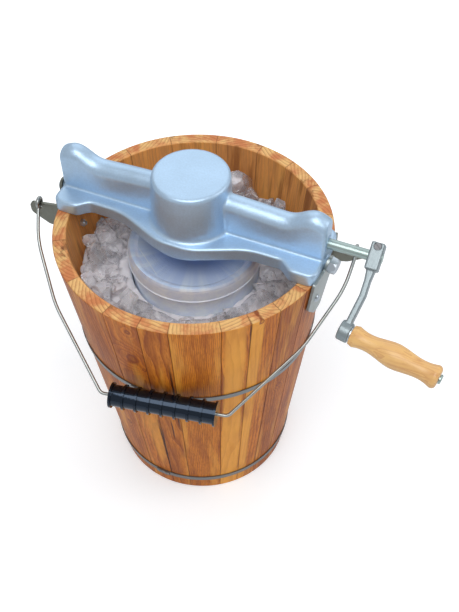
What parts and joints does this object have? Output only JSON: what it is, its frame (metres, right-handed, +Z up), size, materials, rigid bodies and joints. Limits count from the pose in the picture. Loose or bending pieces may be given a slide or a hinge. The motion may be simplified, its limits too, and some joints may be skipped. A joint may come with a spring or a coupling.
{
  "type": "hand crank ice cream freezer",
  "caption": "Stave bucket packed with ice round a turning can, with a cast gear frame across the rim, a side crank with a turned grip and a wire carrying bail.",
  "frame": {"origin": "centre of the bucket's foot, on the surface it stands on", "axes": "+Z up along the bucket's axis, +X along the gear frame towards the crank, -Y the side where the bail hangs"},
  "size_m": [0.5245, 0.354, 0.4785],
  "materials": {
    "cedar": "satin",
    "galvanized": "satin",
    "dark_steel": "satin",
    "bolt_steel": "satin",
    "cast_aluminium": "satin",
    "shaft_steel": "satin",
    "gear_iron": "matte",
    "bronze": "satin",
    "tinned_steel": "satin",
    "turned_wood": "satin",
    "scraper_wood": "matte",
    "black_plastic": "gloss",
    "ice": "gloss"
  },
  "bodies": {
    "tub": {"stave_01": "cedar", "stave_02": "cedar", "stave_03": "cedar", "stave_04": "cedar", "stave_05": "cedar", "stave_06": "cedar", "stave_07": "cedar", "stave_08": "cedar", "stave_09": "cedar", "stave_10": "cedar", "stave_11": "cedar", "stave_12": "cedar", "stave_13": "cedar", "stave_14": "cedar", "stave_15": "cedar", "stave_16": "cedar", "stave_17": "cedar", "stave_18": "cedar", "stave_19": "cedar", "floor_board_front": "cedar", "floor_board_middle": "cedar", "floor_board_back": "cedar", "hoop_middle": "galvanized", "hoop_bottom": "galvanized", "hoop_rivets": "galvanized", "bail_ear_right": "dark_steel", "wall_bolts": "bolt_steel", "wall_nuts": "bolt_steel", "frame_bracket_right": "dark_steel", "frame_bracket_left": "dark_steel", "frame_bolt_right": "bolt_steel", "frame_bolt_left": "bolt_steel", "gear_frame": "cast_aluminium", "gear_plate": "cast_aluminium", "plate_screws": "bolt_steel", "shaft_bush_outer": "bronze", "shaft_bush_inner": "bronze", "thrust_washer": "bolt_steel", "floor_pivot": "bolt_steel", "pivot_screws": "bolt_steel", "ice_bed": "ice", "ice_lumps": "ice"},
    "can": {"can": "tinned_steel", "can_lid": "tinned_steel", "can_gear": "gear_iron", "pivot_cup": "gear_iron"},
    "dasher": {"dasher": "tinned_steel", "dasher_gear": "gear_iron"},
    "scraper_right": {"scraper_right": "scraper_wood"},
    "scraper_left": {"scraper_left": "scraper_wood"},
    "crank": {"crank_shaft": "shaft_steel", "pinion": "gear_iron", "pinion_pin": "bolt_steel", "crank_arm": "cast_aluminium", "set_screw": "bolt_steel", "grip_pin": "bolt_steel", "grip_washer": "bolt_steel"},
    "crank_grip": {"crank_grip": "turned_wood"},
    "bail": {"bail_wire": "galvanized"},
    "bail_grip": {"bail_grip": "black_plastic"}
  },
  "joints": [
    {"name": "can_spin", "type": "hinge", "parent": "tub", "child": "can", "pos_m": [0, 0, 0.04], "axis": [0, 0, 1], "continuous": true},
    {"name": "crank_spin", "type": "hinge", "parent": "tub", "child": "crank", "pos_m": [0.1, 0, 0.4335], "axis": [1, 0, 0], "continuous": true},
    {"name": "dasher_spin", "type": "hinge", "parent": "tub", "child": "dasher", "pos_m": [0, 0, 0.2], "axis": [0, 0, 1], "continuous": true},
    {"name": "scraper_right_hinge", "type": "hinge", "parent": "dasher", "child": "scraper_right", "pos_m": [0.0635, 0, 0.2], "axis": [0, 0, 1], "range_deg": [-12, 12]},
    {"name": "scraper_left_hinge", "type": "hinge", "parent": "dasher", "child": "scraper_left", "pos_m": [-0.0635, 0, 0.2], "axis": [0, 0, 1], "range_deg": [-12, 12]},
    {"name": "crank_grip_spin", "type": "hinge", "parent": "crank", "child": "crank_grip", "pos_m": [0.21112, -0.06816, 0.38024], "axis": [0.9871, -0.126, -0.0984], "continuous": true},
    {"name": "bail_swing", "type": "hinge", "parent": "tub", "child": "bail", "pos_m": [0, 0, 0.3978], "axis": [-0.9833, -0.1822, 0], "range_deg": [0, 72]},
    {"name": "bail_grip_spin", "type": "hinge", "parent": "bail", "child": "bail_grip", "pos_m": [0.03012, -0.16252, 0.26585], "axis": [0.9833, 0.1822, 0], "continuous": true}
  ],
  "couplings": [
    {"joint": "crank_spin", "follows": "can_spin", "ratio": 2.5},
    {"joint": "dasher_spin", "follows": "can_spin", "ratio": -1}
  ]
}
